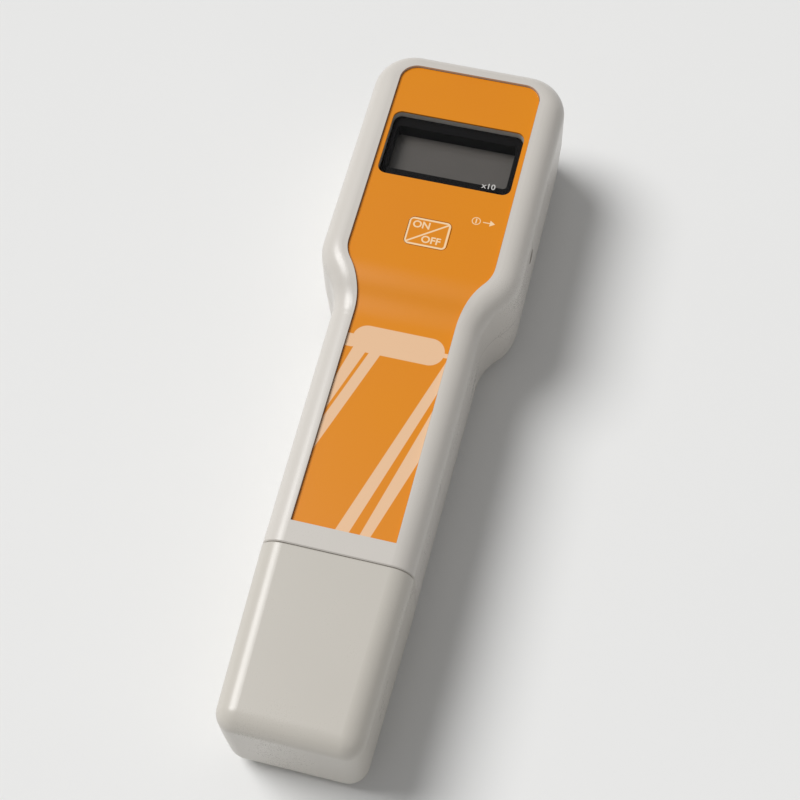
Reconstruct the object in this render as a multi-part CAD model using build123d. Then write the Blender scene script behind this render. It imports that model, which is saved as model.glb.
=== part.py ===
from build123d import *
import math
import os

# Handheld pen-type conductivity meter, lying on its back.
# X runs across it, Y along it towards the display end, Z up out of its face.
# The origin is at the middle of the whole meter, on the surface it lies on. Lengths are millimetres.

# Nine-volt block battery, which sets the width and the depth of the handle
battery_width = 26.2
battery_depth = 17.0
battery_length = 46.4
battery_corner = 3.0
battery_side_play = 0.2
battery_floor_play = 0.35
terminal_pitch = 12.7
terminal_height = 2.1
stud_radius = 2.9
crown_radius = 4.0
snap_play = 0.05

# Moulded housing
cap_length = 36.5
handle_length = 52.5
head_length = 66.5
head_half = 21.4
head_corner = 9.0
neck_convex = 11.4
neck_concave = 11.4
handle_taper = 0.63
wall = 1.6
back_wall = 1.8
end_wall = 2.2
front_wall = 2.0
split_height = 15.0
front_draft = 0.5
rear_draft = 2.0
front_edge = 4.5
back_edge = 4.2
inner_front_edge = 2.5
inner_back_edge = 2.2
neck_step = 2.4
slope_radius = 18.0
slope_start = 1.5
lead_space = 4.8
seam_chamfer = 0.22
end_trim = 5.0
lip_width = 0.75
lip_height = 1.2
lip_gap = 0.1

# Printed film in its recess
label_recess = 1.0
film_thickness = 0.4
film_gap = 0.1
label_head_half = 15.6
label_neck_half = 10.55
label_taper = 0.15
label_convex = 7.0
label_concave = 17.0
label_corner = 3.8
label_top_margin = 4.5
label_low_margin = 4.7

# Display, measured from the head's top end
display_from_top = 25.3
window_width = 28.7
window_height = 16.4
window_corner = 1.8
window_thickness = 1.6
window_gap = 0.1
display_depth = 4.8
sight_width = 26.4
sight_height = 11.3
lcd_width = 31.0
lcd_height = 17.6
lcd_ledge = 3.2
lcd_upper = 1.2
lcd_lower = 1.4
lcd_gap = 0.15
zebra_height = 3.0
zebra_width = 2.0
zebra_length = 28.0
frame_wall = 1.5
frame_lip = 0.9
peg_radius = 0.8
peg_gap = 0.1
peg_reach = 0.8

# Circuit board, hung from the front shell
board_thickness = 1.6
board_edge_gap = 1.9
board_top_margin = 11.3
board_length = 37.2
tongue_width = 19.4
tongue_length = 6.0
board_corner = 1.0

# What is soldered on the board, placed from its long edges and from the display or the key
converter_width = 10.0
converter_length = 14.0
converter_height = 2.0
small_chip_width = 4.0
small_chip_length = 8.8
small_chip_height = 1.5
small_chip_inset = 8.4
small_chip_drop = 14.5
chip_foot = 0.35
chip_foot_reach = 0.9
can_radius = 2.5
can_height = 7.0
can_inset = 6.4
can_rise = 6.5
box_width = 2.6
box_length = 7.2
box_height = 5.5
box_inset = 5.1
box_pitch = 3.6
box_drop = 4.0
resistor_width = 1.6
resistor_length = 3.2
resistor_height = 0.6
resistor_inset = 2.4
resistor_pitch = 2.6
resistor_row_pitch = 4.2
resistor_rise = 0.4

# Press key and the switch under it
key_from_top = 46.4
key_width = 9.0
key_height = 6.8
key_corner = 1.2
key_gap = 0.12
key_travel = 0.35
flange_margin = 1.0
flange_thickness = 0.7
key_stem_radius = 1.5
key_stem_length = 0.6
rest_gap = 0.05
switch_width = 6.0
switch_height = 3.6
plunger_radius = 1.75
plunger_play = 0.1
plunger_reserve = 0.45
well_floor = 0.6

# Calibration trimmer, turned through a hole in the right side
trimmer_from_top = 42.0
trimmer_setback = 0.3
trimmer_length = 9.5
trimmer_width = 10.0
trimmer_height = 4.8
trimmer_screw_radius = 1.2
trimmer_screw_reach = 1.7
trimmer_screw_depth = 3.0
trimmer_play = 0.06
trimmer_slot = 0.5
trimmer_slot_depth = 0.7
access_radius = 1.7

# Plug-in header for the leads
header_width = 17.0
header_depth = 3.8
header_height = 4.8
header_start = 0.8
lead_radius = 0.6
lead_pitch = 2.6
lead_height = 3.0
lead_bend = 6.0
clip_lead_bend = 2.2
lead_root = 2.3
lead_rise_run = 4.5

# Case screws and board screws
case_screw_x = 13.6
case_screw_low_x = 13.6
case_screw_top = 7.6
case_screw_low = 52.3
screw_radius = 1.25
screw_head_radius = 2.5
screw_head_height = 1.8
screw_length = 15.0
screw_well = 8.0
screw_play = 0.25
screw_slot_length = 2.8
screw_slot_width = 0.6
screw_slot_depth = 0.9
pilot_play = 0.05
boss_radius = 3.2
boss_gap = 0.1
well_play = 0.4
well_wall = 1.2
board_screw_x = 14.4
board_screw_top = 13.1
board_screw_mid = 39.1
board_screw_radius = 0.95
board_screw_head = 1.9
board_screw_head_height = 1.3
board_screw_length = 6.0
board_hole_play = 0.2
post_radius = 2.2

# Battery door on the back of the handle
door_start = 6.9
door_length = 45.1
door_height = 6.0
door_recess = 0.25
door_gap = 0.15
door_end_lean = 0.45
tab_width = 4.0
tab_spread = 8.0
tab_reach = 1.2
tab_root = 2.0
tab_thickness = 1.1
tab_gap = 0.15
latch_width = 9.0
latch_length = 8.0
latch_slot = 0.8
grip_count = 6
grip_pitch = 1.6
grip_width = 0.8
grip_depth = 0.5
grip_length = 14.0
grip_from_end = 11.5

# Battery bay behind the door
stop_wall_start = 8.1
stop_wall = 1.4
pad_thickness = 1.1
pad_gap = 0.05
pad_margin = 3.0
rib_thickness = 1.2
rib_spread = 8.5
rib_gap = 0.3
divider_start = 63.1
divider_opening = 18.0

# Clip that snaps on the battery
clip_width = 25.0
clip_depth = 15.2
clip_thickness = 3.0
clip_corner = 4.0
clip_gap = 0.3

# Probe holder, clamped between the shells, and what it carries
neck_width = 20.6
neck_depth = 15.6
neck_corner = 3.0
neck_play = 0.15
flange_lip = 2.0
flange_length = 2.0
seal_thickness = 1.0
keeper_gap = 0.05
keeper_thickness = 1.4
keeper_opening_width = 18.0
keeper_opening_depth = 14.0
collar_length = 6.0
collar_edge = 0.8
cap_play = 0.15
block_width = 23.0
block_depth = 18.0
block_length = 6.5
nose_radius = 7.0
nose_length = 12.0
nose_slot_width = 8.0
nose_slot_depth = 7.0
pin_radius = 0.8
pin_spread = 3.3
pin_reach = 6.0
pin_root = 11.0
pin_fit = 0.03
sensor_radius = 1.3

# Push-on cap over the probe
cap_end_half = 14.2
cap_wall = 1.6
cap_end_wall = 1.8
cap_end_edge = 4.0
cap_floor = 0.2
cap_gap = 0.15

# Places along the meter
total_length = cap_length + handle_length + head_length
y_end = -total_length / 2
y_seam = y_end + cap_length
y_neck = y_seam + handle_length
y_top = y_neck + head_length
y_display = y_top - display_from_top
y_key = y_top - key_from_top
y_trimmer = y_top - trimmer_from_top
y_door = y_seam + door_start
y_door_end = y_door + door_length
y_stop = y_seam + stop_wall_start
y_battery = y_stop + stop_wall + pad_thickness + 2 * pad_gap
y_battery_end = y_battery + battery_length
y_board_top = y_top - board_top_margin
y_board_low = y_board_top - board_length
y_tongue = y_board_low - tongue_length
y_header = y_tongue + header_start
y_keeper = y_seam + end_wall + seal_thickness + flange_length + keeper_gap
y_collar = y_seam - cap_gap - collar_length
y_block = y_collar - block_length
y_nose = y_block - nose_length

# Heights of the stack, from the back up
z_battery = door_recess + wall + battery_floor_play
z_battery_top = z_battery + battery_depth
z_battery_mid = z_battery + battery_depth / 2
handle_ceiling = z_battery_top + lead_space
handle_top = handle_ceiling + front_wall + label_recess
head_top = handle_top + neck_step
head_ceiling = head_top - label_recess - front_wall
film_drop = label_recess - film_thickness
z_film = head_top - film_drop
z_window = z_film - window_thickness
z_lcd_face = z_film - display_depth
z_board_top = z_lcd_face - lcd_upper - lcd_lower - zebra_height
z_board = z_board_top - board_thickness
z_leads = z_board_top + lead_height
z_probe = handle_top / 2
z_trimmer = z_board_top + trimmer_height / 2
z_key_flange = head_ceiling - rest_gap * 2 - flange_thickness
z_key_stem = z_key_flange - key_stem_length
z_door_floor = door_recess + wall

# Half widths, with the handle made to take the battery at the foot of its taper
battery_shoulder = z_battery + battery_corner
bay_half = battery_width / 2 + battery_side_play
draft_loss = (split_height - battery_shoulder) * math.tan(math.radians(rear_draft))
taper_slope = math.tan(math.radians(handle_taper))
neck_half = bay_half + wall + draft_loss + (y_neck - y_battery) * taper_slope
seam_half = neck_half - handle_length * taper_slope
cap_taper = math.degrees(math.atan((seam_half - cap_end_half) / (cap_length - cap_gap)))
board_half = head_half - wall - board_edge_gap
trimmer_end = board_half - trimmer_setback
flange_width = neck_width + 2 * flange_lip
flange_depth = neck_depth + 2 * flange_lip

shell_plan = {
    "head": head_half, "neck": neck_half, "taper": handle_taper,
    "convex": neck_convex, "concave": neck_concave, "corner": head_corner,
}
label_plan = {
    "head": label_head_half, "neck": label_neck_half, "taper": label_taper,
    "convex": label_convex, "concave": label_concave, "corner": label_corner,
}
case_screws = [
    (case_screw_x, y_top - case_screw_top),
    (-case_screw_x, y_top - case_screw_top),
    (case_screw_low_x, y_top - case_screw_low),
    (-case_screw_low_x, y_top - case_screw_low),
]
board_screws = [
    (board_screw_x, y_top - board_screw_top),
    (-board_screw_x, y_top - board_screw_top),
    (0.0, y_top - board_screw_mid),
]
probe_lead_places = [lead_pitch * k for k in (-1.5, -0.5, 0.5, 1.5)]
clip_lead_place = lead_pitch * 2.5


def upright(sketch, x, y, z, height):
    """A plan shape raised from height z."""
    return extrude(Pos(x, y, z) * sketch, height)


def along_y(sketch, x, y, z, length):
    """A cross section run from y towards the display end."""
    return extrude(Plane(origin=(x, y, z), x_dir=(1, 0, 0), z_dir=(0, 1, 0)) * sketch, length)


def along_x(sketch, x, y, z, length):
    """A section run from x to the right."""
    return extrude(Plane(origin=(x, y, z), x_dir=(0, 1, 0), z_dir=(1, 0, 0)) * sketch, length)


def block(x0, x1, y0, y1, z0, z1):
    """A plain block between two corners, for cutting and for ribs."""
    return Pos((x0 + x1) / 2, (y0 + y1) / 2, (z0 + z1) / 2) * Box(x1 - x0, y1 - y0, z1 - z0)


def arc_about(centre, radius, start, end):
    """The short arc from start to end about a centre."""
    spoke_a = Vector(*start) - Vector(*centre)
    spoke_b = Vector(*end) - Vector(*centre)
    middle = Vector(*centre) + (spoke_a + spoke_b).normalized() * radius
    return ThreePointArc(start, (middle.X, middle.Y), end)


def plan_outline(plan, inset=0.0, low=y_seam, top=y_top):
    """Outline seen from the front: tapered handle, S-shaped neck, wide head with round corners."""
    sine = math.sin(math.radians(plan["taper"]))
    cosine = math.cos(math.radians(plan["taper"]))
    hollow = (plan["neck"] + plan["concave"] * cosine, y_neck - plan["concave"] * sine)
    crown_x = plan["head"] - plan["convex"]
    reach = plan["convex"] + plan["concave"]
    crown = (crown_x, hollow[1] + math.sqrt(reach ** 2 - (hollow[0] - crown_x) ** 2))
    convex = plan["convex"] - inset
    concave = plan["concave"] + inset
    corner = plan["corner"] - inset
    half = plan["head"] - inset
    neck_point = (hollow[0] - concave * cosine, hollow[1] + concave * sine)
    share = convex / reach
    turn = (crown[0] + (hollow[0] - crown[0]) * share, crown[1] + (hollow[1] - crown[1]) * share)
    foot = (neck_point[0] - (neck_point[1] - low) * sine / cosine, low)
    with BuildSketch() as outline:
        with BuildLine():
            Line((0, low), foot)
            Line(foot, neck_point)
            arc_about(hollow, concave, neck_point, turn)
            arc_about(crown, convex, turn, (half, crown[1]))
            Line((half, crown[1]), (half, top - corner))
            arc_about((half - corner, top - corner), corner, (half, top - corner), (half - corner, top))
            Line((half - corner, top), (0, top))
            mirror(about=Plane.YZ)
        make_face()
    return outline.sketch


def under_front(drop=0.0):
    """Everything under the front surface, which steps down from the head to the handle."""
    high = head_top - drop
    low = handle_top - drop
    y_low = y_neck - slope_start
    y_high = y_low + math.sqrt(neck_step * (4 * slope_radius - neck_step))
    halfway = ((y_low + y_high) / 2, (high + low) / 2)
    margin = 20.0
    with BuildSketch(Plane.YZ) as side:
        with BuildLine():
            Polyline((y_low, low), (y_end - margin, low), (y_end - margin, -margin),
                     (y_top + margin, -margin), (y_top + margin, high), (y_high, high))
            arc_about((y_high, high - slope_radius), slope_radius, (y_high, high), halfway)
            arc_about((y_low, low + slope_radius), slope_radius, halfway, (y_low, low))
        make_face()
    return extrude(side.sketch, head_half + margin, both=True)


def housing(inset=0.0, drop=0.0, floor=0.0, low=y_seam, top_edge=front_edge, low_edge=back_edge):
    """The closed form of the housing, drafted both ways from the split, with its long edges round."""
    plan = plan_outline(shell_plan, inset, low - end_trim, y_top - inset)
    down = Plane(origin=(0, 0, split_height), x_dir=(-1, 0, 0), z_dir=(0, 0, -1))
    upper = extrude(Pos(0, 0, split_height) * plan, head_top - split_height + 1, taper=front_draft)
    lower = extrude(down * plan, split_height - floor, taper=rear_draft)
    form = (upper + lower) & under_front(drop)
    form &= block(-head_half - 1, head_half + 1, low, y_top + 1, -1, head_top + 1)
    form = fillet(rim_edges(form, lambda z: z > handle_top - drop - 0.05), top_edge)
    return fillet(rim_edges(form, lambda z: z < floor + 0.01), low_edge)


def rim_edges(form, at_height):
    """Edges at a height that run round the sides and the top end, and not across the form."""
    found = []
    for edge in form.edges():
        middle = edge @ 0.5
        if at_height(middle.Z) and (abs(middle.X) > 1 or middle.Y > y_top - head_corner):
            found.append(edge)
    return found


def shell_cavity():
    """The room inside the two shells."""
    return housing(wall, label_recess + front_wall, back_wall, y_seam + end_wall,
                   inner_front_edge, inner_back_edge)


def above_split(height=0.0):
    """A block that holds everything above the split, or above a height over it."""
    return block(-40, 40, y_end - 10, y_top + 10, split_height + height, head_top + 10)


def lip_ring(grow=0.0):
    """Locating lip along the split, or the rebate for it when it is grown by its gap."""
    outer = plan_outline(shell_plan, wall - lip_width - grow, y_seam + wall - lip_width - grow,
                         y_top - wall + lip_width + grow)
    inner = plan_outline(shell_plan, wall + grow, y_seam + end_wall + grow, y_top - wall - grow)
    return upright(outer - inner, 0, 0, split_height, lip_height + grow)


def window_shape(grow=0.0):
    return RectangleRounded(window_width + 2 * grow, window_height + 2 * grow, window_corner + grow)


def key_shape(grow=0.0):
    return RectangleRounded(key_width + 2 * grow, key_height + 2 * grow, key_corner + grow)


def cap_form(inset, length, end_edge):
    """The cap's tapered form from its mouth to its closed end, with every face moved in by inset."""
    low = cap_floor + inset
    high = handle_top - inset
    half = seam_half - inset
    low_half = half - (split_height - low) * math.tan(math.radians(rear_draft))
    high_half = half - (high - split_height) * math.tan(math.radians(front_draft))
    with BuildSketch() as section:
        with BuildLine():
            Line((-low_half, low), (low_half, low))
            ThreePointArc((low_half, low), (half, split_height), (high_half, high))
            Line((high_half, high), (-high_half, high))
            ThreePointArc((-high_half, high), (-half, split_height), (-low_half, low))
        make_face()
    mouth = Plane(origin=(0, y_seam - cap_gap, 0), x_dir=(1, 0, 0), z_dir=(0, -1, 0))
    form = extrude(mouth * section.sketch, length, taper=cap_taper)
    form = fillet(lengthwise_edges(form, False), back_edge - inset)
    form = fillet(lengthwise_edges(form, True), front_edge - inset)
    return fillet(form.faces().sort_by(Axis.Y)[0].edges(), end_edge)


def lengthwise_edges(form, above):
    """Edges that run along the meter, above the split or below it."""
    found = []
    for edge in form.edges():
        along = abs((edge @ 0).Y - (edge @ 1).Y) > 1
        if along and ((edge @ 0.5).Z > split_height) == above:
            found.append(edge)
    return found


def probe_opening():
    """The hole in the shells' end wall that the holder's neck fills."""
    shape = RectangleRounded(neck_width + 2 * neck_play, neck_depth + 2 * neck_play, neck_corner)
    return along_y(shape, 0, y_seam - 1, z_probe, end_wall + 2)


def keeper_rib():
    """Rib behind the probe holder's flange, open in the middle for the leads."""
    rib = shell_cavity() & block(-40, 40, y_keeper, y_keeper + keeper_thickness, 0, head_top)
    hole = RectangleRounded(keeper_opening_width, keeper_opening_depth, neck_corner)
    return rib - along_y(hole, 0, y_keeper - 1, z_probe, keeper_thickness + 2)


def front_shell():
    """Face half: recess for the film, openings for window and key, bosses, posts and ribs."""
    shell = (housing() & above_split()) - shell_cavity()
    for x, y in case_screws:
        shell += upright(Circle(boss_radius), x, y, split_height + boss_gap,
                         head_ceiling - split_height)
    for x, y in board_screws:
        shell += upright(Circle(post_radius), x, y, z_board_top, head_ceiling + 0.5 - z_board_top)
    for side in (-1, 1):
        x = side * rib_spread
        shell += block(x - rib_thickness / 2, x + rib_thickness / 2, y_battery + 3,
                       y_battery_end - 3, z_battery_top + rib_gap, handle_ceiling + 0.5)
    shell += keeper_rib() & above_split()
    shell -= lip_ring(lip_gap)
    recess = upright(plan_outline(label_plan, 0, y_seam + label_low_margin, y_top - label_top_margin),
                     0, 0, split_height, head_top)
    shell -= recess - under_front(label_recess)
    shell -= upright(window_shape(window_gap), 0, y_display, split_height, head_top)
    shell -= upright(key_shape(key_gap), 0, y_key, split_height, head_top)
    shell -= probe_opening()
    for x, y in case_screws:
        shell -= upright(Circle(screw_radius + pilot_play), x, y, split_height,
                         screw_well + screw_length + 1 - split_height)
    for x, y in board_screws:
        shell -= upright(Circle(board_screw_radius + pilot_play), x, y, z_board_top - 1,
                         board_screw_length + 1)
    shell -= along_x(Circle(access_radius), head_half - wall - 2, y_trimmer, z_trimmer, wall + 4)
    return chamfer(seam_end_edges(shell), seam_chamfer)


def seam_end_edges(shell):
    """Outer edges of a shell's end at the cap seam."""
    found = []
    for edge in shell.edges():
        middle = edge @ 0.5
        at_seam = abs(middle.Y - y_seam) < 0.01
        level = abs((edge @ 0).Z - (edge @ 1).Z) < 0.01
        outside = abs(middle.X) > seam_half - front_edge or not 1 < middle.Z < handle_top - 1
        on_split = abs(middle.Z - split_height) < 0.01 and level
        if at_seam and outside and not on_split:
            found.append(edge)
    return found


def rear_shell():
    """Back half: screw wells, bay walls, opening for the battery door and the locating lip."""
    shell = (housing() - above_split()) - shell_cavity()
    for x, y in case_screws:
        tower = upright(Circle(screw_head_radius + well_play + well_wall), x, y, 0, split_height)
        shell += tower & housing()
    inside = shell_cavity() - above_split()
    shell += keeper_rib() - above_split()
    shell += inside & block(-40, 40, y_stop, y_stop + stop_wall, door_height + door_gap, split_height)
    y_divider = y_seam + divider_start
    divider = inside & block(-40, 40, y_divider, y_divider + rib_thickness, 0, split_height)
    shell += divider - block(-divider_opening / 2, divider_opening / 2, y_divider - 1,
                             y_divider + rib_thickness + 1, back_wall, split_height)
    shell += lip_ring() - above_split(lip_height)
    shell -= probe_opening()
    for x, y in case_screws:
        shell -= upright(Circle(screw_head_radius + well_play), x, y, -1, screw_well + 1)
        shell -= upright(Circle(screw_radius + screw_play), x, y, 0, split_height + lip_height)
        shell -= upright(Circle(boss_radius + boss_gap), x, y, split_height, lip_height + 1)
    shell -= block(-40, 40, y_door - door_gap, y_door_end + door_gap, -1, door_height + door_gap)
    for side in (-1, 1):
        x = side * tab_spread
        shell -= block(x - tab_width / 2 - tab_gap, x + tab_width / 2 + tab_gap,
                       y_door - tab_reach - tab_gap * 2, y_door, back_wall,
                       z_door_floor + tab_gap + tab_thickness + tab_gap * 2)
    return chamfer(seam_end_edges(shell), seam_chamfer)


def overlay_label():
    """Printed film that lines the recess and bends down over the neck's slope."""
    plan = plan_outline(label_plan, film_gap, y_seam + label_low_margin + film_gap,
                        y_top - label_top_margin - film_gap)
    film = upright(plan, 0, 0, split_height, head_top)
    film = (film & under_front(film_drop)) - under_front(label_recess)
    film -= upright(window_shape(window_gap), 0, y_display, split_height, head_top)
    return film - upright(key_shape(key_gap), 0, y_key, split_height, head_top)


def display_window():
    """Clear pane, flush with the film."""
    pane = upright(window_shape(), 0, y_display, z_window, window_thickness)
    return chamfer(pane.faces().sort_by(Axis.Z)[-1].edges(), 0.2)


def lcd_frame():
    """Black frame that carries the pane, hides the glass's edges and stands on the board."""
    outer_width = lcd_width + 2 * (lcd_gap + frame_wall)
    outer_height = lcd_height + 2 * (lcd_gap + frame_lip)
    shoulder = head_ceiling - boss_gap
    frame = upright(RectangleRounded(outer_width, outer_height, 1.0), 0, y_display, z_board_top,
                    shoulder - z_board_top)
    frame += upright(window_shape(-0.1), 0, y_display, shoulder - 0.5, z_window - shoulder + 0.5)
    frame -= upright(Rectangle(lcd_width + 2 * lcd_gap, lcd_height + 2 * lcd_gap), 0,
                     y_display, z_board_top - 1, z_lcd_face - z_board_top + 1)
    frame -= upright(RectangleRounded(sight_width, sight_height, 0.8), 0, y_display, z_lcd_face - 1,
                     z_window - z_lcd_face + 2)
    for x, y in frame_pegs():
        frame += upright(Circle(peg_radius), x, y, z_board - peg_reach, z_board_top - z_board + peg_reach + 0.5)
    return frame


def frame_pegs():
    """Places of the frame's four pegs."""
    x = lcd_width / 2 + lcd_gap + frame_wall / 2
    y = lcd_height / 2 - 3.0
    return [(sx * x, y_display + sy * y) for sx in (-1, 1) for sy in (-1, 1)]


def lcd_glass():
    """Two panes of glass, the lower with a contact ledge at each long side."""
    z_step = z_lcd_face - lcd_upper
    lower = upright(Rectangle(lcd_width, lcd_height), 0, y_display, z_step - lcd_lower, lcd_lower)
    return lower + upright(Rectangle(lcd_width, lcd_height - lcd_ledge), 0, y_display, z_step, lcd_upper)


def zebra_strips():
    """Rubber contact strips between the glass and the board."""
    strips = Part()
    for side in (-1, 1):
        y = y_display + side * (lcd_height - zebra_width) / 2
        strips += upright(Rectangle(zebra_length, zebra_width), 0, y, z_board_top, zebra_height)
    return strips


def main_board():
    """Circuit board with a tongue that reaches into the neck."""
    main = upright(RectangleRounded(2 * board_half, board_length, board_corner), 0,
                   y_board_low + board_length / 2, z_board, board_thickness)
    tongue = upright(RectangleRounded(tongue_width, tongue_length + 4, board_corner), 0,
                     y_tongue + tongue_length / 2 + 2, z_board, board_thickness)
    board = main + tongue
    for x, y in board_screws:
        board -= upright(Circle(board_screw_radius + board_hole_play), x, y, z_board - 1,
                         board_thickness + 2)
    for x, y in frame_pegs():
        board -= upright(Circle(peg_radius + peg_gap), x, y, z_board - 1, board_thickness + 2)
    return board


def leaded_chip(width, length, height, leads, x, y):
    """A moulded chip under the board with a comb of feet along both long sides."""
    body = upright(Rectangle(width, length), x, y, z_board - height - 0.1, height)
    body = chamfer(body.edges().filter_by(Axis.Z), 0.3)
    pitch = (length - 1.0) / (leads - 1)
    for side in (-1, 1):
        for k in range(leads):
            y_foot = y - (length - 1.0) / 2 + pitch * k
            x_foot = x + side * (width + chip_foot_reach - 0.2) / 2
            body += block(x_foot - chip_foot_reach / 2 - 0.1, x_foot + chip_foot_reach / 2,
                          y_foot - chip_foot / 2, y_foot + chip_foot / 2, z_board - 0.6, z_board)
    return body


def converter_chip():
    return leaded_chip(converter_width, converter_length, converter_height, 12, 0, y_display)


def small_chip(side):
    """One of the two small chips below the display, side -1 or 1."""
    return leaded_chip(small_chip_width, small_chip_length, small_chip_height, 7,
                       side * (board_half - small_chip_inset), y_display - small_chip_drop)


def board_capacitors():
    """Two round and three box capacitors under the board."""
    group = Part()
    can_x = board_half - can_inset
    box_x = board_half - box_inset
    for x in (-can_x, can_x):
        can = upright(Circle(can_radius), x, y_display + can_rise, z_board - can_height, can_height)
        group += fillet(can.faces().sort_by(Axis.Z)[0].edges(), 0.5)
    for x in (-box_x, box_pitch - box_x, box_x):
        box = upright(Rectangle(box_width, box_length), x, y_display - box_drop, z_board - box_height,
                      box_height)
        group += fillet(box.edges().filter_by(Axis.Z), 0.6)
    return group


def board_resistors():
    """Chip resistors in two rows beside the switch."""
    group = Part()
    for row in range(2):
        for k in range(4):
            x = resistor_inset - board_half + resistor_pitch * k
            y = y_key + resistor_rise + resistor_row_pitch * row
            body = upright(Rectangle(resistor_width, resistor_length), x, y, z_board_top, resistor_height)
            group += fillet(body.edges().filter_by(Axis.Z), 0.15)
    return group


def on_off_key():
    """Key flush with the film, kept in by a flange behind the wall."""
    tile_height = z_film - z_key_flange
    key = upright(key_shape(), 0, y_key, z_key_flange, tile_height)
    flange = RectangleRounded(key_width + 2 * flange_margin, key_height + 2 * flange_margin, key_corner)
    key += upright(flange, 0, y_key, z_key_flange, flange_thickness)
    return key + upright(Circle(key_stem_radius), 0, y_key, z_key_stem, key_stem_length + 0.1)


def tact_switch():
    """Switch body with the well that its plunger sinks into."""
    body = upright(Rectangle(switch_width, switch_width), 0, y_key, z_board_top, switch_height)
    body = chamfer(body.edges().filter_by(Axis.Z), 0.4)
    body += upright(Circle(plunger_radius + 0.7), 0, y_key, z_board_top, switch_height + 0.3)
    return body - upright(Circle(plunger_radius + plunger_play), 0, y_key, z_board_top + well_floor,
                          switch_height + 2)


def switch_plunger():
    z_foot = z_board_top + well_floor + key_travel + plunger_reserve
    stem = upright(Circle(plunger_radius), 0, y_key, z_foot, z_key_stem - rest_gap - z_foot)
    return fillet(stem.faces().sort_by(Axis.Z)[-1].edges(), 0.3)


def trimmer_body():
    """Multi-turn trimmer lying on the board, with the bore that its screw turns in."""
    x0 = trimmer_end - trimmer_length
    body = along_x(Rectangle(trimmer_width, trimmer_height), x0, y_trimmer, z_trimmer, trimmer_length)
    body = chamfer(body.edges().filter_by(Axis.X), 0.4)
    bore = Circle(trimmer_screw_radius + trimmer_play)
    return body - along_x(bore, trimmer_end - trimmer_screw_depth, y_trimmer, z_trimmer,
                          trimmer_screw_depth + 1)


def trimmer_screw():
    """Slotted brass screw that a small driver reaches from the side."""
    length = trimmer_screw_depth - 0.1 + trimmer_screw_reach
    x0 = trimmer_end - trimmer_screw_depth + 0.1
    screw = along_x(Circle(trimmer_screw_radius), x0, y_trimmer, z_trimmer, length)
    screw = chamfer(screw.faces().sort_by(Axis.X)[-1].edges(), 0.2)
    tip = x0 + length
    return screw - block(tip - trimmer_slot_depth, tip + 1, y_trimmer - 3, y_trimmer + 3,
                         z_trimmer - trimmer_slot / 2, z_trimmer + trimmer_slot / 2)


def lead_header():
    """Plug-in block where the leads reach the board."""
    body = block(-header_width / 2, header_width / 2, y_header, y_header + header_depth,
                 z_board_top, z_board_top + header_height)
    return chamfer(body.edges().filter_by(Axis.X), 0.4)


def battery():
    """Block battery, its printed jacket crimped round both ends."""
    section = RectangleRounded(battery_width, battery_depth, battery_corner)
    body = along_y(section, 0, y_battery, z_battery_mid, battery_length)
    ends = body.faces().sort_by(Axis.Y)
    body = fillet(ends[0].edges() + ends[-1].edges(), 0.8)
    lid = RectangleRounded(battery_width - 3, battery_depth - 3, battery_corner - 1)
    return body - along_y(lid, 0, y_battery_end - 0.4, z_battery_mid, 1)


def battery_terminals():
    """Stud and crown on the battery's end, on their seats in the lid."""
    y = y_battery_end - 0.4
    stud = along_y(Circle(stud_radius), terminal_pitch / 2, y, z_battery_mid, terminal_height + 0.4)
    ring = Circle(crown_radius) - Circle(stud_radius + snap_play)
    crown = along_y(ring, -terminal_pitch / 2, y, z_battery_mid, terminal_height + 0.4)
    return stud + crown


def clip_contacts():
    """Crown and stud of the clip, each snapped on its opposite."""
    y = y_battery_end + clip_gap
    ring = Circle(crown_radius) - Circle(stud_radius + snap_play)
    crown = along_y(ring, terminal_pitch / 2, y, z_battery_mid, terminal_height)
    stud = along_y(Circle(stud_radius), -terminal_pitch / 2, y, z_battery_mid, terminal_height)
    return crown + stud


def battery_clip():
    """Insulating hood that holds the two contacts."""
    y = y_battery_end + clip_gap + terminal_height
    hood = along_y(RectangleRounded(clip_width, clip_depth, clip_corner), 0, y, z_battery_mid,
                   clip_thickness)
    return fillet(hood.faces().sort_by(Axis.Y)[-1].edges(), 0.8)


def wire(points, radius, bend):
    """Round insulated wire along straight runs joined by arcs."""
    path = FilletPolyline(*points, radius=bend)
    start = Plane(origin=path @ 0, z_dir=path % 0)
    return sweep(start * Circle(radius), path=path)


def clip_lead(side):
    """Lead from the clip's top edge over to the header."""
    x = side * clip_lead_place
    y = y_battery_end + clip_gap + terminal_height + clip_thickness / 2
    z = z_battery_mid + clip_depth / 2
    return wire([(x, y, z), (x, y, z_leads), (x, y_header, z_leads)], lead_radius, clip_lead_bend)


def probe_lead(k):
    """Lead from the probe holder, up over the battery and along the ceiling to the header."""
    x = probe_lead_places[k]
    z = z_battery_top - 0.2
    y0 = y_keeper - keeper_gap
    rise_start = y0 + lead_root
    rise_end = rise_start + lead_rise_run
    return wire([(x, y0, z), (x, rise_start, z), (x, rise_end, z_leads), (x, y_header, z_leads)],
                lead_radius, lead_bend)


def battery_pad():
    """Foam pad that keeps the battery from rattling along its length."""
    pad = RectangleRounded(battery_width - 2 * pad_margin, battery_depth - 2 * pad_margin, 1.0)
    return along_y(pad, 0, y_stop + stop_wall + pad_gap, z_battery_mid, pad_thickness)


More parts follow.
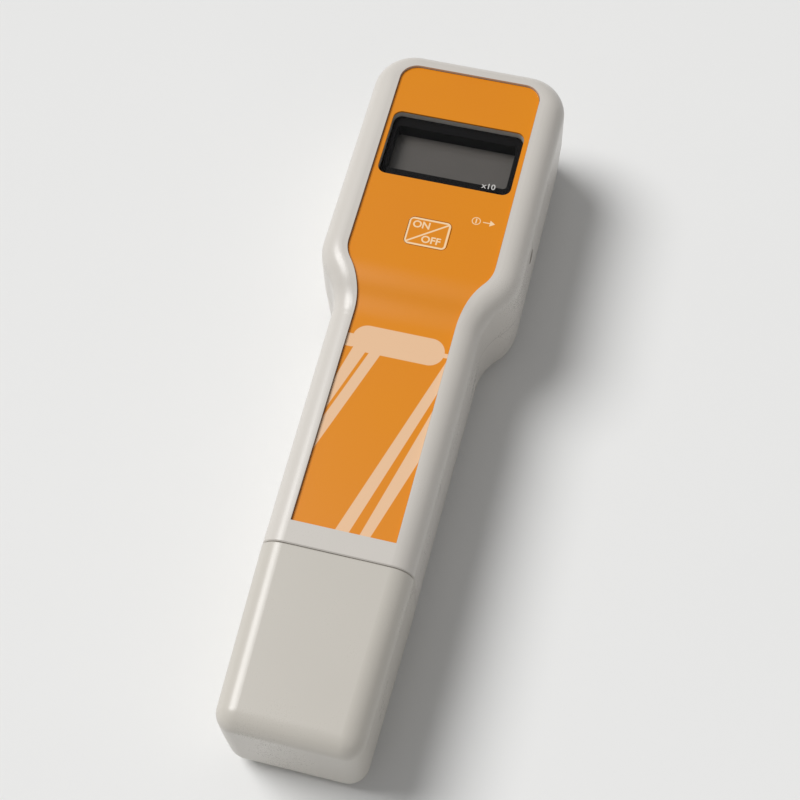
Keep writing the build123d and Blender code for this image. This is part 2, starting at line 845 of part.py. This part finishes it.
def battery_door():
    """Cover that is the whole back of the handle, with hooks, a latch tongue and a ribbed grip."""
    outer = housing(0, 0, door_recess)
    inner = housing(wall, label_recess + front_wall, z_door_floor, y_seam + end_wall,
                    inner_front_edge, back_edge - wall)
    with BuildSketch(Plane.YZ) as side:
        with BuildLine():
            Polyline((y_door, 0), (y_door_end, 0), (y_door_end - door_end_lean, door_height),
                     (y_door, door_height), close=True)
        make_face()
    door = (outer & extrude(side.sketch, head_half, both=True)) - inner
    for side in (-1, 1):
        x = side * tab_spread
        z0 = z_door_floor + tab_gap
        door += block(x - tab_width / 2, x + tab_width / 2, y_door - tab_reach, y_door + tab_root,
                      z0, z0 + tab_thickness)
        door += block(x - tab_width / 2, x + tab_width / 2, y_door, y_door + tab_root,
                      z_door_floor - 0.5, z0 + tab_thickness)
    for side in (-1, 1):
        x = side * (latch_width + latch_slot) / 2
        door -= block(x - latch_slot / 2, x + latch_slot / 2, y_door_end - latch_length,
                      y_door_end + 1, -1, z_door_floor + 1)
    y_grip = y_door_end - latch_length - grip_from_end
    for k in range(grip_count):
        groove = SlotOverall(grip_length, grip_width)
        door -= upright(groove, 0, y_grip + grip_pitch * k, door_recess - 1, grip_depth + 1)
    return door


def probe_seal():
    """Flat rubber ring between the shells' end wall and the holder's flange."""
    outer = RectangleRounded(flange_width, flange_depth, neck_corner + 1)
    inner = RectangleRounded(neck_width + 2 * neck_play, neck_depth + 2 * neck_play, neck_corner)
    return along_y(outer - inner, 0, y_seam + end_wall, z_probe, seal_thickness)


def probe_holder():
    """Flange, neck, collar for the cap, block, and a nose slotted so that liquid runs through."""
    y_flange = y_seam + end_wall + seal_thickness
    holder = along_y(RectangleRounded(flange_width, flange_depth, neck_corner + 1), 0, y_flange,
                     z_probe, flange_length)
    neck = RectangleRounded(neck_width, neck_depth, neck_corner)
    holder += along_y(neck, 0, y_seam - cap_gap - 0.5, z_probe, y_flange - y_seam + cap_gap + 1)
    holder += cap_form(cap_wall + cap_play, collar_length, collar_edge)
    step = along_y(RectangleRounded(block_width, block_depth, neck_corner + 1), 0, y_block, z_probe,
                   block_length + 1)
    holder += fillet(step.faces().sort_by(Axis.Y)[0].edges(), 1.0)
    nose = along_y(Circle(nose_radius), 0, y_nose, z_probe, nose_length + 1)
    holder += fillet(nose.faces().sort_by(Axis.Y)[0].edges(), 1.2)
    holder -= block(-nose_slot_width / 2, nose_slot_width / 2, y_nose - 1, y_nose + nose_slot_depth,
                    z_probe - nose_radius - 1, z_probe + nose_radius + 1)
    y_root = y_nose + nose_slot_depth
    for offset in (-pin_spread, pin_spread):
        holder -= along_y(Circle(pin_radius + pin_fit), 0, y_root - 1, z_probe + offset, pin_root + 1)
    return holder - along_y(Circle(sensor_radius + pin_fit), 0, y_root - 1, z_probe, pin_root + 1)


def round_nosed_pin(radius, z):
    """Pin set in the holder, its free end rounded."""
    y = y_nose + nose_slot_depth - pin_reach
    pin = along_y(Circle(radius), 0, y, z, pin_reach + pin_root)
    return fillet(pin.faces().sort_by(Axis.Y)[0].edges(), radius * 0.9)


def electrode_pins():
    return round_nosed_pin(pin_radius, z_probe - pin_spread) + round_nosed_pin(pin_radius, z_probe + pin_spread)


def temperature_sensor():
    return round_nosed_pin(sensor_radius, z_probe)


def protective_cap():
    """Hollow cap, tapered all round so that it leaves its mould and slides off the collar."""
    outer = cap_form(0, cap_length - cap_gap, cap_end_edge)
    outer = chamfer(outer.faces().sort_by(Axis.Y)[-1].edges(), seam_chamfer)
    return outer - cap_form(cap_wall, cap_length - cap_gap - cap_end_wall, cap_end_edge - cap_wall)


def case_screw_set():
    """Pan-head screws that draw the shells together from the back."""
    group = Part()
    for x, y in case_screws:
        head = upright(Circle(screw_head_radius), x, y, screw_well - screw_head_height, screw_head_height)
        head = fillet(head.faces().sort_by(Axis.Z)[0].edges(), 0.7)
        screw = head + upright(Circle(screw_radius), x, y, screw_well - 0.1, screw_length + 0.1)
        for turn in (0, 90):
            slot = Rot(0, 0, turn) * Box(screw_slot_length, screw_slot_width, 2 * screw_slot_depth)
            screw -= Pos(x, y, screw_well - screw_head_height) * slot
        group += screw
    return group


def board_screw_set():
    """Small screws that hang the board from the front shell's posts."""
    group = Part()
    for x, y in board_screws:
        head = upright(Circle(board_screw_head), x, y, z_board - board_screw_head_height,
                       board_screw_head_height)
        head = fillet(head.faces().sort_by(Axis.Z)[0].edges(), 0.5)
        group += head + upright(Circle(board_screw_radius), x, y, z_board - 0.1, board_screw_length)
    return group


nodes = {
    "front_shell": front_shell(),
    "rear_shell": rear_shell(),
    "overlay_label": overlay_label(),
    "display_window": display_window(),
    "lcd_frame": lcd_frame(),
    "lcd_glass": lcd_glass(),
    "zebra_strips": zebra_strips(),
    "main_board": main_board(),
    "converter_chip": converter_chip(),
    "amplifier_chip": small_chip(-1),
    "switching_chip": small_chip(1),
    "board_capacitors": board_capacitors(),
    "board_resistors": board_resistors(),
    "on_off_key": on_off_key(),
    "tact_switch": tact_switch(),
    "switch_plunger": switch_plunger(),
    "trimmer_body": trimmer_body(),
    "trimmer_screw": trimmer_screw(),
    "lead_header": lead_header(),
    "battery": battery(),
    "battery_terminals": battery_terminals(),
    "battery_clip": battery_clip(),
    "clip_contacts": clip_contacts(),
    "battery_lead_red": clip_lead(1),
    "battery_lead_black": clip_lead(-1),
    "battery_pad": battery_pad(),
    "battery_door": battery_door(),
    "probe_holder": probe_holder(),
    "probe_seal": probe_seal(),
    "electrode_pins": electrode_pins(),
    "temperature_sensor": temperature_sensor(),
    "electrode_lead_left": probe_lead(0),
    "electrode_lead_right": probe_lead(3),
    "sensor_lead_left": probe_lead(1),
    "sensor_lead_right": probe_lead(2),
    "protective_cap": protective_cap(),
    "case_screws": case_screw_set(),
    "board_screws": board_screw_set(),
}

os.makedirs("parts", exist_ok=True)
for name, shape in nodes.items():
    export_step(shape, f"parts/{name}.step")
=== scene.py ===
import math

import bpy
import numpy as np
from mathutils import Matrix, Vector


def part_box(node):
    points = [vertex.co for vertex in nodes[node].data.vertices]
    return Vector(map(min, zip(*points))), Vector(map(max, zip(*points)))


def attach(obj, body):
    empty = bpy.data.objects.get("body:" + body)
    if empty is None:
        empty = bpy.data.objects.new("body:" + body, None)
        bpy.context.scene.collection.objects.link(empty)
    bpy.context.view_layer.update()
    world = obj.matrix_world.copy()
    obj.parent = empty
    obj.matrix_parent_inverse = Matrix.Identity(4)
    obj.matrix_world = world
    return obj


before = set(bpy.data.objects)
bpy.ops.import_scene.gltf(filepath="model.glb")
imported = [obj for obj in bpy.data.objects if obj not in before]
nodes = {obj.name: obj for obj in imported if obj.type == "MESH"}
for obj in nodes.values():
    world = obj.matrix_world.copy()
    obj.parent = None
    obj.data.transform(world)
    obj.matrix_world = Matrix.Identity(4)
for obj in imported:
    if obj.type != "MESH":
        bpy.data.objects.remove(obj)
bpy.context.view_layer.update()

mm = 0.001
middleToCapEnd = 77.75  # mm from the origin back to the cap's closed end
splitHeight = 15.0  # mm up to the line where the two shells meet
print("frame loaded:", len(nodes), "nodes")


# Shader building

def linear(rgb):  # screen colour 0-255 to Blender's linear colour
    parts = [c / 255 for c in rgb]
    return tuple(c / 12.92 if c <= 0.04045 else ((c + 0.055) / 1.055) ** 2.4 for c in parts)


class Link:  # one socket of a material that takes part in Python arithmetic
    def __init__(self, paint, socket):
        self.paint = paint
        self.socket = socket

    def math(self, operation, *others):
        values = {i: value for i, value in enumerate((self,) + others)}
        return self.paint.add("ShaderNodeMath", {"operation": operation}, values)

    def __add__(self, other): return self.math("ADD", other)
    def __radd__(self, other): return self.math("ADD", other)
    def __sub__(self, other): return self.math("SUBTRACT", other)
    def __rsub__(self, other): return (self * -1).math("ADD", other)
    def __mul__(self, other): return self.math("MULTIPLY", other)
    def __rmul__(self, other): return self.math("MULTIPLY", other)
    def __truediv__(self, other): return self.math("DIVIDE", other)
    def __rtruediv__(self, other): return self.math("POWER", -1.0).math("MULTIPLY", other)
    def __pow__(self, other): return self.math("POWER", other)
    def __abs__(self): return self.math("ABSOLUTE")
    def least(self, other): return self.math("MINIMUM", other)
    def most(self, other): return self.math("MAXIMUM", other)


class Paint:  # one material, or the world, and its node tree
    def __init__(self, name, world=None):
        self.material = world or bpy.data.materials.new(name)
        self.material.use_nodes = True
        self.tree = self.material.node_tree
        self.tree.nodes.clear()

    def feed(self, socket, value):
        if isinstance(value, Link):
            self.tree.links.new(value.socket, socket)
        else:
            socket.default_value = value

    def add(self, kind, settings, sockets, output=0):  # any node: type, settings, values or links
        node = self.tree.nodes.new(kind)
        for key, value in settings.items():
            if key == "stops":
                ramp = node.color_ramp
                while len(ramp.elements) < len(value):
                    ramp.elements.new(0.5)
                for element, (place, colour) in zip(ramp.elements, value):
                    element.position = place
                    element.color = colour
            else:
                setattr(node, key, value)
        for key, value in sockets.items():
            self.feed(node.inputs[key], value)
        if output == "all":
            return [Link(self, socket) for socket in node.outputs]
        return Link(self, node.outputs[output]) if node.outputs else node

    def place(self):  # Object coordinates, in metres in the meter's own frame
        return self.add("ShaderNodeTexCoord", {}, {}, "Object")

    def axes(self):  # across, along from the cap end, and up, in millimetres
        x, y, z = self.add("ShaderNodeSeparateXYZ", {}, {0: self.place()}, "all")
        return x * 1000.0, y * 1000.0 + middleToCapEnd, z * 1000.0

    def noise(self, size, detail=2.0, roughness=0.5, stretch=(1, 1, 1)):  # size of a feature in mm
        scaled = self.add("ShaderNodeMapping", {}, {"Vector": self.place(), "Scale": stretch})
        return self.add("ShaderNodeTexNoise", {}, {"Vector": scaled, "Scale": 1000.0 / size,
                                                   "Detail": detail, "Roughness": roughness})

    def mix(self, factor, a, b):  # colour a where factor is 0, colour b where it is 1
        values = {0: factor}
        for index, colour in ((6, a), (7, b)):
            values[index] = colour if isinstance(colour, Link) else (*colour, 1.0)
        return self.add("ShaderNodeMix", {"data_type": "RGBA"}, values, 2)

    def between(self, value, low, high):  # value from 0..1 spread to low..high
        return value * (high - low) + low

    def band(self, distance, soft):  # 1 inside a shape, 0 outside, from its signed distance
        return self.add("ShaderNodeClamp", {}, {0: 0.5 - distance / soft})

    def bump(self, height, distance, strength=1.0):  # distance in mm
        return self.add("ShaderNodeBump", {}, {"Height": height, "Distance": distance * mm,
                                               "Strength": strength})

    def finish(self, sockets):
        shader = self.add("ShaderNodeBsdfPrincipled", {}, sockets)
        self.add("ShaderNodeOutputMaterial", {}, {"Surface": shader})
        return self.material


# Finishes, one function for each kind of material

def mouldedPlastic(name, look):
    paint = Paint(name)
    x, along, z = paint.axes()
    cloud = paint.noise(look["cloudSize"], 3.0)
    grain = paint.noise(look["grainSize"], 2.0, 0.6)
    specks = paint.noise(look["speckSize"], 1.0)
    colour = paint.mix(paint.between(cloud, 0.1, 0.9), linear(look["colour"]), linear(look["cloudColour"]))
    for place, width in look["seams"]:  # painted shade along each joint line across the meter, darker where the parts meet
        colour = paint.mix(paint.band(abs(along - place) - width, 0.5) * look["paintedShadeShare"], colour,
                           linear(look["paintedShadeColour"]))
    # painted shade along the line where the two shells meet, in the same darker joint colour
    splitShadeBand = paint.band(abs(z - splitHeight) - 0.08, 0.25) * look["splitShade"]
    colour = paint.mix(splitShadeBand, colour, linear(look["paintedShadeColour"]))
    return paint.finish({
        "Base Color": colour,
        "Roughness": paint.between(cloud * 0.5 + grain * 0.5, look["roughLow"], look["roughHigh"]),
        "Normal": paint.bump(grain * 0.7 + specks * 0.3, look["grainDepth"], 1.0),
        "Specular IOR Level": look["shine"],
    })


bodyLook = {
    "colour": (213, 208, 201), "cloudColour": (206, 201, 194),
    # the darker joint colour below is painted shade, laid along the joint lines and the line where the
    # shells meet
    "paintedShadeColour": (126, 118, 108), "cloudSize": 14.0, "grainSize": 0.28, "speckSize": 1.1,
    "grainDepth": 0.008, "roughLow": 0.22, "roughHigh": 0.36, "shine": 0.5, "splitShade": 0.6,
    "paintedShadeShare": 0.12,
    "seams": [(36.4, 0.25)],
}
capLook = dict(bodyLook, colour=(205, 200, 191), cloudColour=(198, 193, 184), splitShade=0.0)
doorLook = dict(bodyLook, splitShade=0.0, seams=[(43.3, 0.15), (88.6, 0.15)])
darkLook = dict(
    bodyLook, colour=(34, 34, 36), cloudColour=(27, 27, 29), paintedShadeColour=(16, 16, 16),
    seams=[], splitShade=0.0, roughLow=0.34, roughHigh=0.55)
bezelLook = dict(darkLook, colour=(12, 11, 12), cloudColour=(9, 8, 9), roughLow=0.40, roughHigh=0.55,
                 shine=0.12)

filmLook = {
    "orange": (230, 142, 12), "deepOrange": (226, 135, 6), "cream": (238, 196, 156), "line": (250, 216, 172),
    "pill": (0.15, 83.1, 9.55, 3.1),  # middle across, middle along, half width, half height
    "keyRing": (-0.1, 109.1, 4.25, 3.15), "ringWidth": 0.21,
    "pillCorner": 3.05, "stripesEnd": 83.0, "keyCorner": 0.75,
    "tails": [((10.2, 82.9, 1.6, 0.5), 0.2), ((-9.6, 82.2, 1.6, 1.5), 1.2)],  # each a box and its corner
    "slash": ((-4.0, 106.35), (3.8, 111.9)), "slashWidth": 0.18,
    "dial": (9.1, 114.35, 0.85, 0.85), "dialWidth": 0.09,  # screw head seen from the front
    "bars": [(9.1, 114.35, 0.13, 0.6), (11.3, 114.35, 0.75, 0.11)], "barCorner": 0.02,
    "arrowTip": (13.1, 114.35), "arrowBase": 12.0, "arrowSpread": 1.5,
    "soft": 0.10, "roughLow": 0.24, "roughHigh": 0.36, "grainSize": 0.22, "grainDepth": 0.006,
    "stripes": [  # each between two lines that run down the handle, given by two points on each
        (((-8.8, 80.1), (-10.7, 72.0)), ((-5.9, 80.2), (-10.75, 64.9))),
        (((-5.1, 80.3), (-10.7, 63.0)), ((-2.9, 79.9), (-10.5, 56.6))),
        (((10.1, 80.4), (-1.8, 41.1)), ((10.2, 73.5), (0.84, 40.9))),
        (((10.3, 69.8), (3.0, 40.9)), ((10.4, 59.0), (5.1, 41.0))),
    ],
}


def lineDistance(x, along, line):  # signed distance in mm to a line, positive on its right as it runs down
    (x0, y0), (x1, y1) = line
    length = math.hypot(x1 - x0, y1 - y0)
    across, down = (x1 - x0) / length, (y1 - y0) / length
    return (x - x0) * -down + (along - y0) * across


def roundedBox(x, along, shape, radius):  # signed distance in mm to a rectangle with round corners
    middleX, middleY, halfX, halfY = shape
    outX = abs(x - middleX) - (halfX - radius)
    outY = abs(along - middleY) - (halfY - radius)
    far = (outX.most(0.0) ** 2.0 + outY.most(0.0) ** 2.0) ** 0.5
    return far + outX.most(outY).least(0.0) - radius


def printedFilm(name, look):
    paint = Paint(name)
    x, along, z = paint.axes()
    cloud = paint.noise(22.0, 2.0)
    grain = paint.noise(look["grainSize"], 2.0, 0.6)
    soft = look["soft"]
    colour = paint.mix(cloud, linear(look["orange"]), linear(look["deepOrange"]))
    printed = None
    for upper, lower in look["stripes"]:  # inside where it is right of one line and left of the other
        stripe = paint.band((lineDistance(x, along, upper) * -1.0).most(lineDistance(x, along, lower)), soft)
        printed = stripe if printed is None else printed.most(stripe)
    printed = printed * paint.band(along - look["stripesEnd"], soft)
    printed = printed.most(paint.band(roundedBox(x, along, look["pill"], look["pillCorner"]), soft))
    for tail, corner in look["tails"]:
        printed = printed.most(paint.band(roundedBox(x, along, tail, corner), soft))
    colour = paint.mix(printed, colour, linear(look["cream"]))
    ringAt = roundedBox(x, along, look["keyRing"], look["keyCorner"])
    keyLines = paint.band(abs(ringAt) - look["ringWidth"], soft)
    slash = lineDistance(x, along, look["slash"])
    keyLines = keyLines.most(paint.band(abs(slash) - look["slashWidth"], soft) * paint.band(ringAt, soft))
    slotDial = roundedBox(x, along, look["dial"], look["dial"][2])
    keyLines = keyLines.most(paint.band(abs(slotDial) - look["dialWidth"], soft))
    for bar in look["bars"]:
        keyLines = keyLines.most(paint.band(roundedBox(x, along, bar, look["barCorner"]), soft))
    tipX, tipAlong = look["arrowTip"]
    arrow = abs(along - tipAlong) * look["arrowSpread"] + (x - tipX)
    keyLines = keyLines.most(paint.band(arrow.most(look["arrowBase"] - x), soft))
    colour = paint.mix(keyLines, colour, linear(look["line"]))
    return paint.finish({
        "Base Color": colour,
        "Roughness": paint.between(cloud * 0.6 + grain * 0.4, look["roughLow"], look["roughHigh"]),
        "Normal": paint.bump(grain, look["grainDepth"], 1.0),
        "Specular IOR Level": 0.5,
    })


def metal(name, look):
    paint = Paint(name)
    streaks = paint.noise(look["streakSize"], 3.0, 0.6, look["stretch"])
    cloud = paint.noise(3.0, 2.0)
    colour = paint.mix(cloud, linear(look["colour"]), linear(look["dull"]))
    return paint.finish({
        "Base Color": colour,
        "Metallic": 1.0,
        "Roughness": paint.between(streaks, look["roughLow"], look["roughHigh"]),
        "Normal": paint.bump(streaks, 0.003, 1.0),
    })


steelLook = {"colour": (206, 206, 204), "dull": (178, 177, 174), "streakSize": 0.12, "stretch": (1, 1, 0.15),
             "roughLow": 0.16, "roughHigh": 0.36}
brassLook = dict(steelLook, colour=(214, 178, 104), dull=(178, 140, 74), stretch=(0.15, 1, 1))


def clearPane(name):
    paint = Paint(name)
    haze = paint.noise(2.5, 3.0)
    return paint.finish({
        "Base Color": linear((232, 236, 238)) + (1.0,),
        "Metallic": 1.0,
        "Roughness": paint.between(haze, 0.03, 0.09),
        "Alpha": 0.012,
    })


crystalLook = {
    "grey": (95, 91, 88), "deepGrey": (86, 83, 79), "sealColour": (70, 70, 66),
    "seal": (0.0, 130.2, 14.2, 6.9), "sealCorner": 0.3, "sealWidth": 0.35,  # glue line round the crystal
}


def liquidCrystal(name, look):
    paint = Paint(name)
    x, along, z = paint.axes()
    cloud = paint.noise(6.0, 2.0)
    seal = paint.band(abs(roundedBox(x, along, look["seal"], look["sealCorner"])) - look["sealWidth"], 0.2)
    colour = paint.mix(cloud, linear(look["grey"]), linear(look["deepGrey"]))
    colour = paint.mix(seal * 0.6, colour, linear(look["sealColour"]))
    return paint.finish({
        "Base Color": colour,
        "Roughness": paint.between(cloud, 0.18, 0.30),
        "Coat Weight": 0.2,
        "Coat Roughness": 0.08,
    })


def circuitBoard(name):
    paint = Paint(name)
    scaled = paint.add("ShaderNodeMapping", {}, {"Vector": paint.place(), "Scale": (1, 1, 0.01)})
    cells = paint.add("ShaderNodeTexVoronoi", {"feature": "DISTANCE_TO_EDGE"},
                      {"Vector": scaled, "Scale": 340.0})
    track = paint.band(cells - 0.06, 0.02)
    cloud = paint.noise(5.0, 2.0)
    colour = paint.mix(cloud, linear((22, 92, 50)), linear((16, 78, 42)))
    colour = paint.mix(track * 0.8, colour, linear((44, 124, 66)))
    return paint.finish({
        "Base Color": colour,
        "Roughness": paint.between(cloud, 0.22, 0.38),
        "Normal": paint.bump(track, 0.03, 1.0),
    })


def plainPlastic(name, look):
    paint = Paint(name)
    cloud = paint.noise(look.get("cloudSize", 4.0), 3.0)
    grain = paint.noise(look.get("grainSize", 0.2), 2.0, 0.6)
    colour = paint.mix(cloud, linear(look["colour"]), linear(look["shade"]))
    return paint.finish({
        "Base Color": colour,
        "Roughness": paint.between(grain, look.get("roughLow", 0.28), look.get("roughHigh", 0.45)),
        "Normal": paint.bump(grain, look.get("grainDepth", 0.008), 1.0),
    })


jacketLook = {  # ends and band given along the meter from the cap end, in mm
    "black": (36, 37, 40), "deepBlack": (27, 28, 31), "copper": (196, 136, 84), "deepCopper": (178, 118, 70),
    "crimp": (170, 170, 168), "lowCrimp": 48.3, "bandStart": 79.5, "highCrimp": 92.5,
}


def batteryJacket(name, look):
    paint = Paint(name)
    along = paint.axes()[1]
    cloud = paint.noise(8.0, 2.0)
    scratches = paint.noise(0.5, 3.0, 0.6, (1, 0.08, 1))
    black = paint.mix(cloud, linear(look["black"]), linear(look["deepBlack"]))
    copper = paint.mix(cloud, linear(look["copper"]), linear(look["deepCopper"]))
    band = paint.band(look["bandStart"] - along, 0.15)
    colour = paint.mix(band, black, copper)
    crimp = paint.band(along - look["lowCrimp"], 0.2).most(paint.band(look["highCrimp"] - along, 0.2))
    colour = paint.mix(crimp, colour, linear(look["crimp"]))
    return paint.finish({
        "Base Color": colour,
        "Metallic": paint.between(band.most(crimp), 0.1, 0.9),
        "Roughness": paint.between(scratches, 0.22, 0.42),
        "Normal": paint.bump(scratches, 0.004, 1.0),
    })


def foam(name, dark):
    paint = Paint(name)
    cells = paint.add("ShaderNodeTexVoronoi", {"feature": "F1"}, {"Vector": paint.place(), "Scale": 2600.0})
    colour = paint.mix(cells, linear(dark), linear([min(255, c * 2 + 12) for c in dark]))
    return paint.finish({"Base Color": colour, "Roughness": 0.9, "Normal": paint.bump(cells, 0.12, 1.0)})


def shade(colour, share=0.84):
    return tuple(int(c * share) for c in colour)


def insulation(name, colour):
    return plainPlastic(name, {"colour": colour, "shade": shade(colour), "cloudSize": 6.0, "grainSize": 0.5,
                               "grainDepth": 0.004, "roughLow": 0.24, "roughHigh": 0.36})


bodyPlastic = mouldedPlastic("bodyPlastic", bodyLook)
film = printedFilm("printedFilm", filmLook)
steel = metal("brightSteel", steelLook)
darkPlastic = mouldedPlastic("darkPlastic", darkLook)
epoxy = plainPlastic("mouldedEpoxy", {"colour": (38, 38, 38), "shade": (29, 29, 30)})
greyWire = insulation("greyInsulation", (118, 118, 118))
whiteWire = insulation("whiteInsulation", (222, 221, 216))
finishes = {
    "front_shell": bodyPlastic, "rear_shell": bodyPlastic,
    "protective_cap": mouldedPlastic("capPlastic", capLook),
    "battery_door": mouldedPlastic("doorPlastic", doorLook),
    "overlay_label": film, "on_off_key": film,
    "display_window": clearPane("clearPane"),
    "lcd_frame": mouldedPlastic("bezelPlastic", bezelLook),
    "lcd_glass": liquidCrystal("liquidCrystal", crystalLook),
    "zebra_strips": plainPlastic("contactRubber", {"colour": (126, 96, 100), "shade": (88, 66, 70)}),
    "main_board": circuitBoard("circuitBoard"),
    "converter_chip": epoxy, "amplifier_chip": epoxy, "switching_chip": epoxy, "board_resistors": epoxy,
    "board_capacitors": plainPlastic("dippedFilm", {"colour": (158, 74, 34), "shade": (134, 60, 28)}),
    "tact_switch": darkPlastic, "battery_clip": darkPlastic, "probe_holder": darkPlastic,
    "switch_plunger": plainPlastic("whiteNylon", {"colour": (226, 225, 219), "shade": (212, 211, 204)}),
    "trimmer_body": plainPlastic("trimmerBlue", {"colour": (34, 66, 138), "shade": (26, 52, 112)}),
    "trimmer_screw": metal("turnedBrass", brassLook),
    "lead_header": plainPlastic("headerNylon", {"colour": (228, 226, 214), "shade": (214, 211, 198)}),
    "battery": batteryJacket("batteryJacket", jacketLook),
    "battery_terminals": steel, "clip_contacts": steel, "electrode_pins": steel, "temperature_sensor": steel,
    "case_screws": steel, "board_screws": steel,
    "battery_lead_red": insulation("redInsulation", (172, 30, 26)),
    "battery_lead_black": insulation("blackInsulation", (24, 24, 25)),
    "battery_pad": foam("batteryFoam", (34, 34, 35)),
    "probe_seal": plainPlastic("sealRubber", {"colour": (28, 28, 29), "shade": (20, 20, 21), "roughLow": 0.6,
                                              "roughHigh": 0.8}),
    "electrode_lead_left": greyWire, "electrode_lead_right": greyWire,
    "sensor_lead_left": whiteWire, "sensor_lead_right": whiteWire,
}
for nodeName, material in finishes.items():
    slots = nodes[nodeName].data.materials
    slots.clear()
    slots.append(material)
print("finishes on", len(finishes), "nodes")


# Printed words

def printedWord(name, look):  # flat letters with a hair of thickness, laid on the face they are printed on
    curve = bpy.data.curves.new(name, "FONT")
    curve.body = look["words"]
    curve.size = look["size"] * mm
    curve.align_x = "CENTER"
    curve.align_y = "CENTER"
    curve.space_character = look["spacing"]
    curve.offset = look["weight"] * mm
    curve.extrude = look["thickness"] * mm / 2
    word = bpy.data.objects.new(name, curve)
    bpy.context.scene.collection.objects.link(word)
    bpy.context.view_layer.update()
    mesh = bpy.data.meshes.new_from_object(word.evaluated_get(bpy.context.evaluated_depsgraph_get()))
    bpy.data.objects.remove(word)
    x, along, z = look["place"]
    move = Matrix.Translation((x * mm, (along - middleToCapEnd) * mm, (z + look["thickness"] / 2) * mm))
    mesh.transform(move @ Matrix.Diagonal((look["wide"], 1.0, 1.0, 1.0)))
    piece = bpy.data.objects.new(name, mesh)
    bpy.context.scene.collection.objects.link(piece)
    mesh.materials.clear()
    mesh.materials.append(look["ink"])
    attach(piece, look["body"])
    return piece


paleInk = plainPlastic("paleInk", {"colour": (250, 216, 172), "shade": (246, 210, 164), "roughLow": 0.35,
                                   "roughHigh": 0.5, "grainDepth": 0.003})
greyInk = plainPlastic("greyInk", {"colour": (206, 204, 202), "shade": (196, 194, 190), "roughLow": 0.35,
                                   "roughHigh": 0.5, "grainDepth": 0.003})
wordLook = {"size": 2.35, "spacing": 1.0, "weight": 0.055, "thickness": 0.02, "wide": 1.0, "ink": paleInk,
            "body": "key", "slot": "label_film"}
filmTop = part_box("on_off_key")[1].z / mm
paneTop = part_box("display_window")[1].z / mm
printedWord("printOn", dict(wordLook, words="ON", place=(-1.75, 110.75, filmTop)))
printedWord("printOff", dict(wordLook, words="OFF", place=(1.0, 107.4, filmTop)))
printedWord("printRange", dict(wordLook, words="x10", place=(9.7, 123.35, paneTop), size=1.9, spacing=1.05,
                               ink=greyInk, body="meter_body", slot="label_film", weight=0.02))
print("printed words laid")


# Floor, light and camera

stageLook = {"floorColour": (238, 238, 237), "floorSize": 40.0, "worldLight": 0.27}
keyLook = {"place": (-0.42, 0.10, 0.62), "power": 2.5, "spread": 32.0}  # far and even over the floor
fillLook = {"place": (0.45, -0.45, 0.40), "power": 0.15, "size": (0.5, 0.4)}


def groundPlane(look):
    half = look["floorSize"] / 2
    mesh = bpy.data.meshes.new("floor")
    corners = [(-half, -half, 0), (half, -half, 0), (half, half, 0), (-half, half, 0)]
    mesh.from_pydata(corners, [], [(0, 1, 2, 3)])
    floor = bpy.data.objects.new("floor", mesh)
    bpy.context.scene.collection.objects.link(floor)
    paint = Paint("paleFloor")
    cloud = paint.noise(60.0, 2.0)
    colour = paint.mix(cloud, linear(look["floorColour"]), linear([c - 2 for c in look["floorColour"]]))
    mesh.materials.append(paint.finish({"Base Color": colour, "Roughness": 0.75}))


def lamp(name, kind, look):  # shines from its place at the meter
    light = bpy.data.lights.new(name, kind)
    light.energy = look["power"]
    if kind == "SUN":
        light.angle = math.radians(look["spread"])
    else:
        light.shape = "RECTANGLE"
        light.size, light.size_y = look["size"]
    holder = bpy.data.objects.new(name, light)
    holder.location = look["place"]
    holder.rotation_mode = "QUATERNION"
    holder.rotation_quaternion = (-Vector(look["place"])).to_track_quat("-Z", "Y")
    bpy.context.scene.collection.objects.link(holder)


def whiteRoom(look):  # plain white to the camera, dimmer as a light
    world = bpy.data.worlds.new("whiteRoom")
    bpy.context.scene.world = world
    room = Paint("whiteRoom", world)
    rays = {socket.socket.name: socket for socket in room.add("ShaderNodeLightPath", {}, {}, "all")}
    seen = rays["Is Camera Ray"].most(rays["Is Transmission Ray"])
    level = room.between(seen, look["worldLight"], 1.0)
    background = room.add("ShaderNodeBackground", {}, {"Color": (1, 1, 1, 1), "Strength": level})
    room.add("ShaderNodeOutputWorld", {}, {"Surface": background})


cameraLook = {
    "spot": (0.04541, -0.14186, 0.30135),  # where the photograph was taken from
    "aim": (0.0015, 0.0, 0.013),  # the meter's middle
    "right": (0.96220, 0.26417, -0.06623),  # the picture's level direction
    "pictureWidth": 800.0, "pixelsPerUnit": 1560.0,
}


def photographCamera(look):
    data = bpy.data.cameras.new("camera")
    data.sensor_width = 36.0
    data.lens = look["pixelsPerUnit"] / look["pictureWidth"] * 36.0
    data.clip_start, data.clip_end = 0.01, 20.0
    ahead = (Vector(look["aim"]) - Vector(look["spot"])).normalized()
    level = Vector(look["right"])
    level = (level - ahead * level.dot(ahead)).normalized()
    up = level.cross(ahead)
    camera = bpy.data.objects.new("camera", data)
    turned = Matrix((level, up, -ahead)).transposed().to_4x4()
    camera.matrix_world = Matrix.Translation(look["spot"]) @ turned
    bpy.context.scene.collection.objects.link(camera)
    bpy.context.scene.camera = camera


groundPlane(stageLook)
whiteRoom(stageLook)
lamp("keyLight", "SUN", keyLook)
lamp("fillLight", "AREA", fillLook)
photographCamera(cameraLook)
bpy.context.scene.view_settings.view_transform = "Standard"
print("stage and camera set")
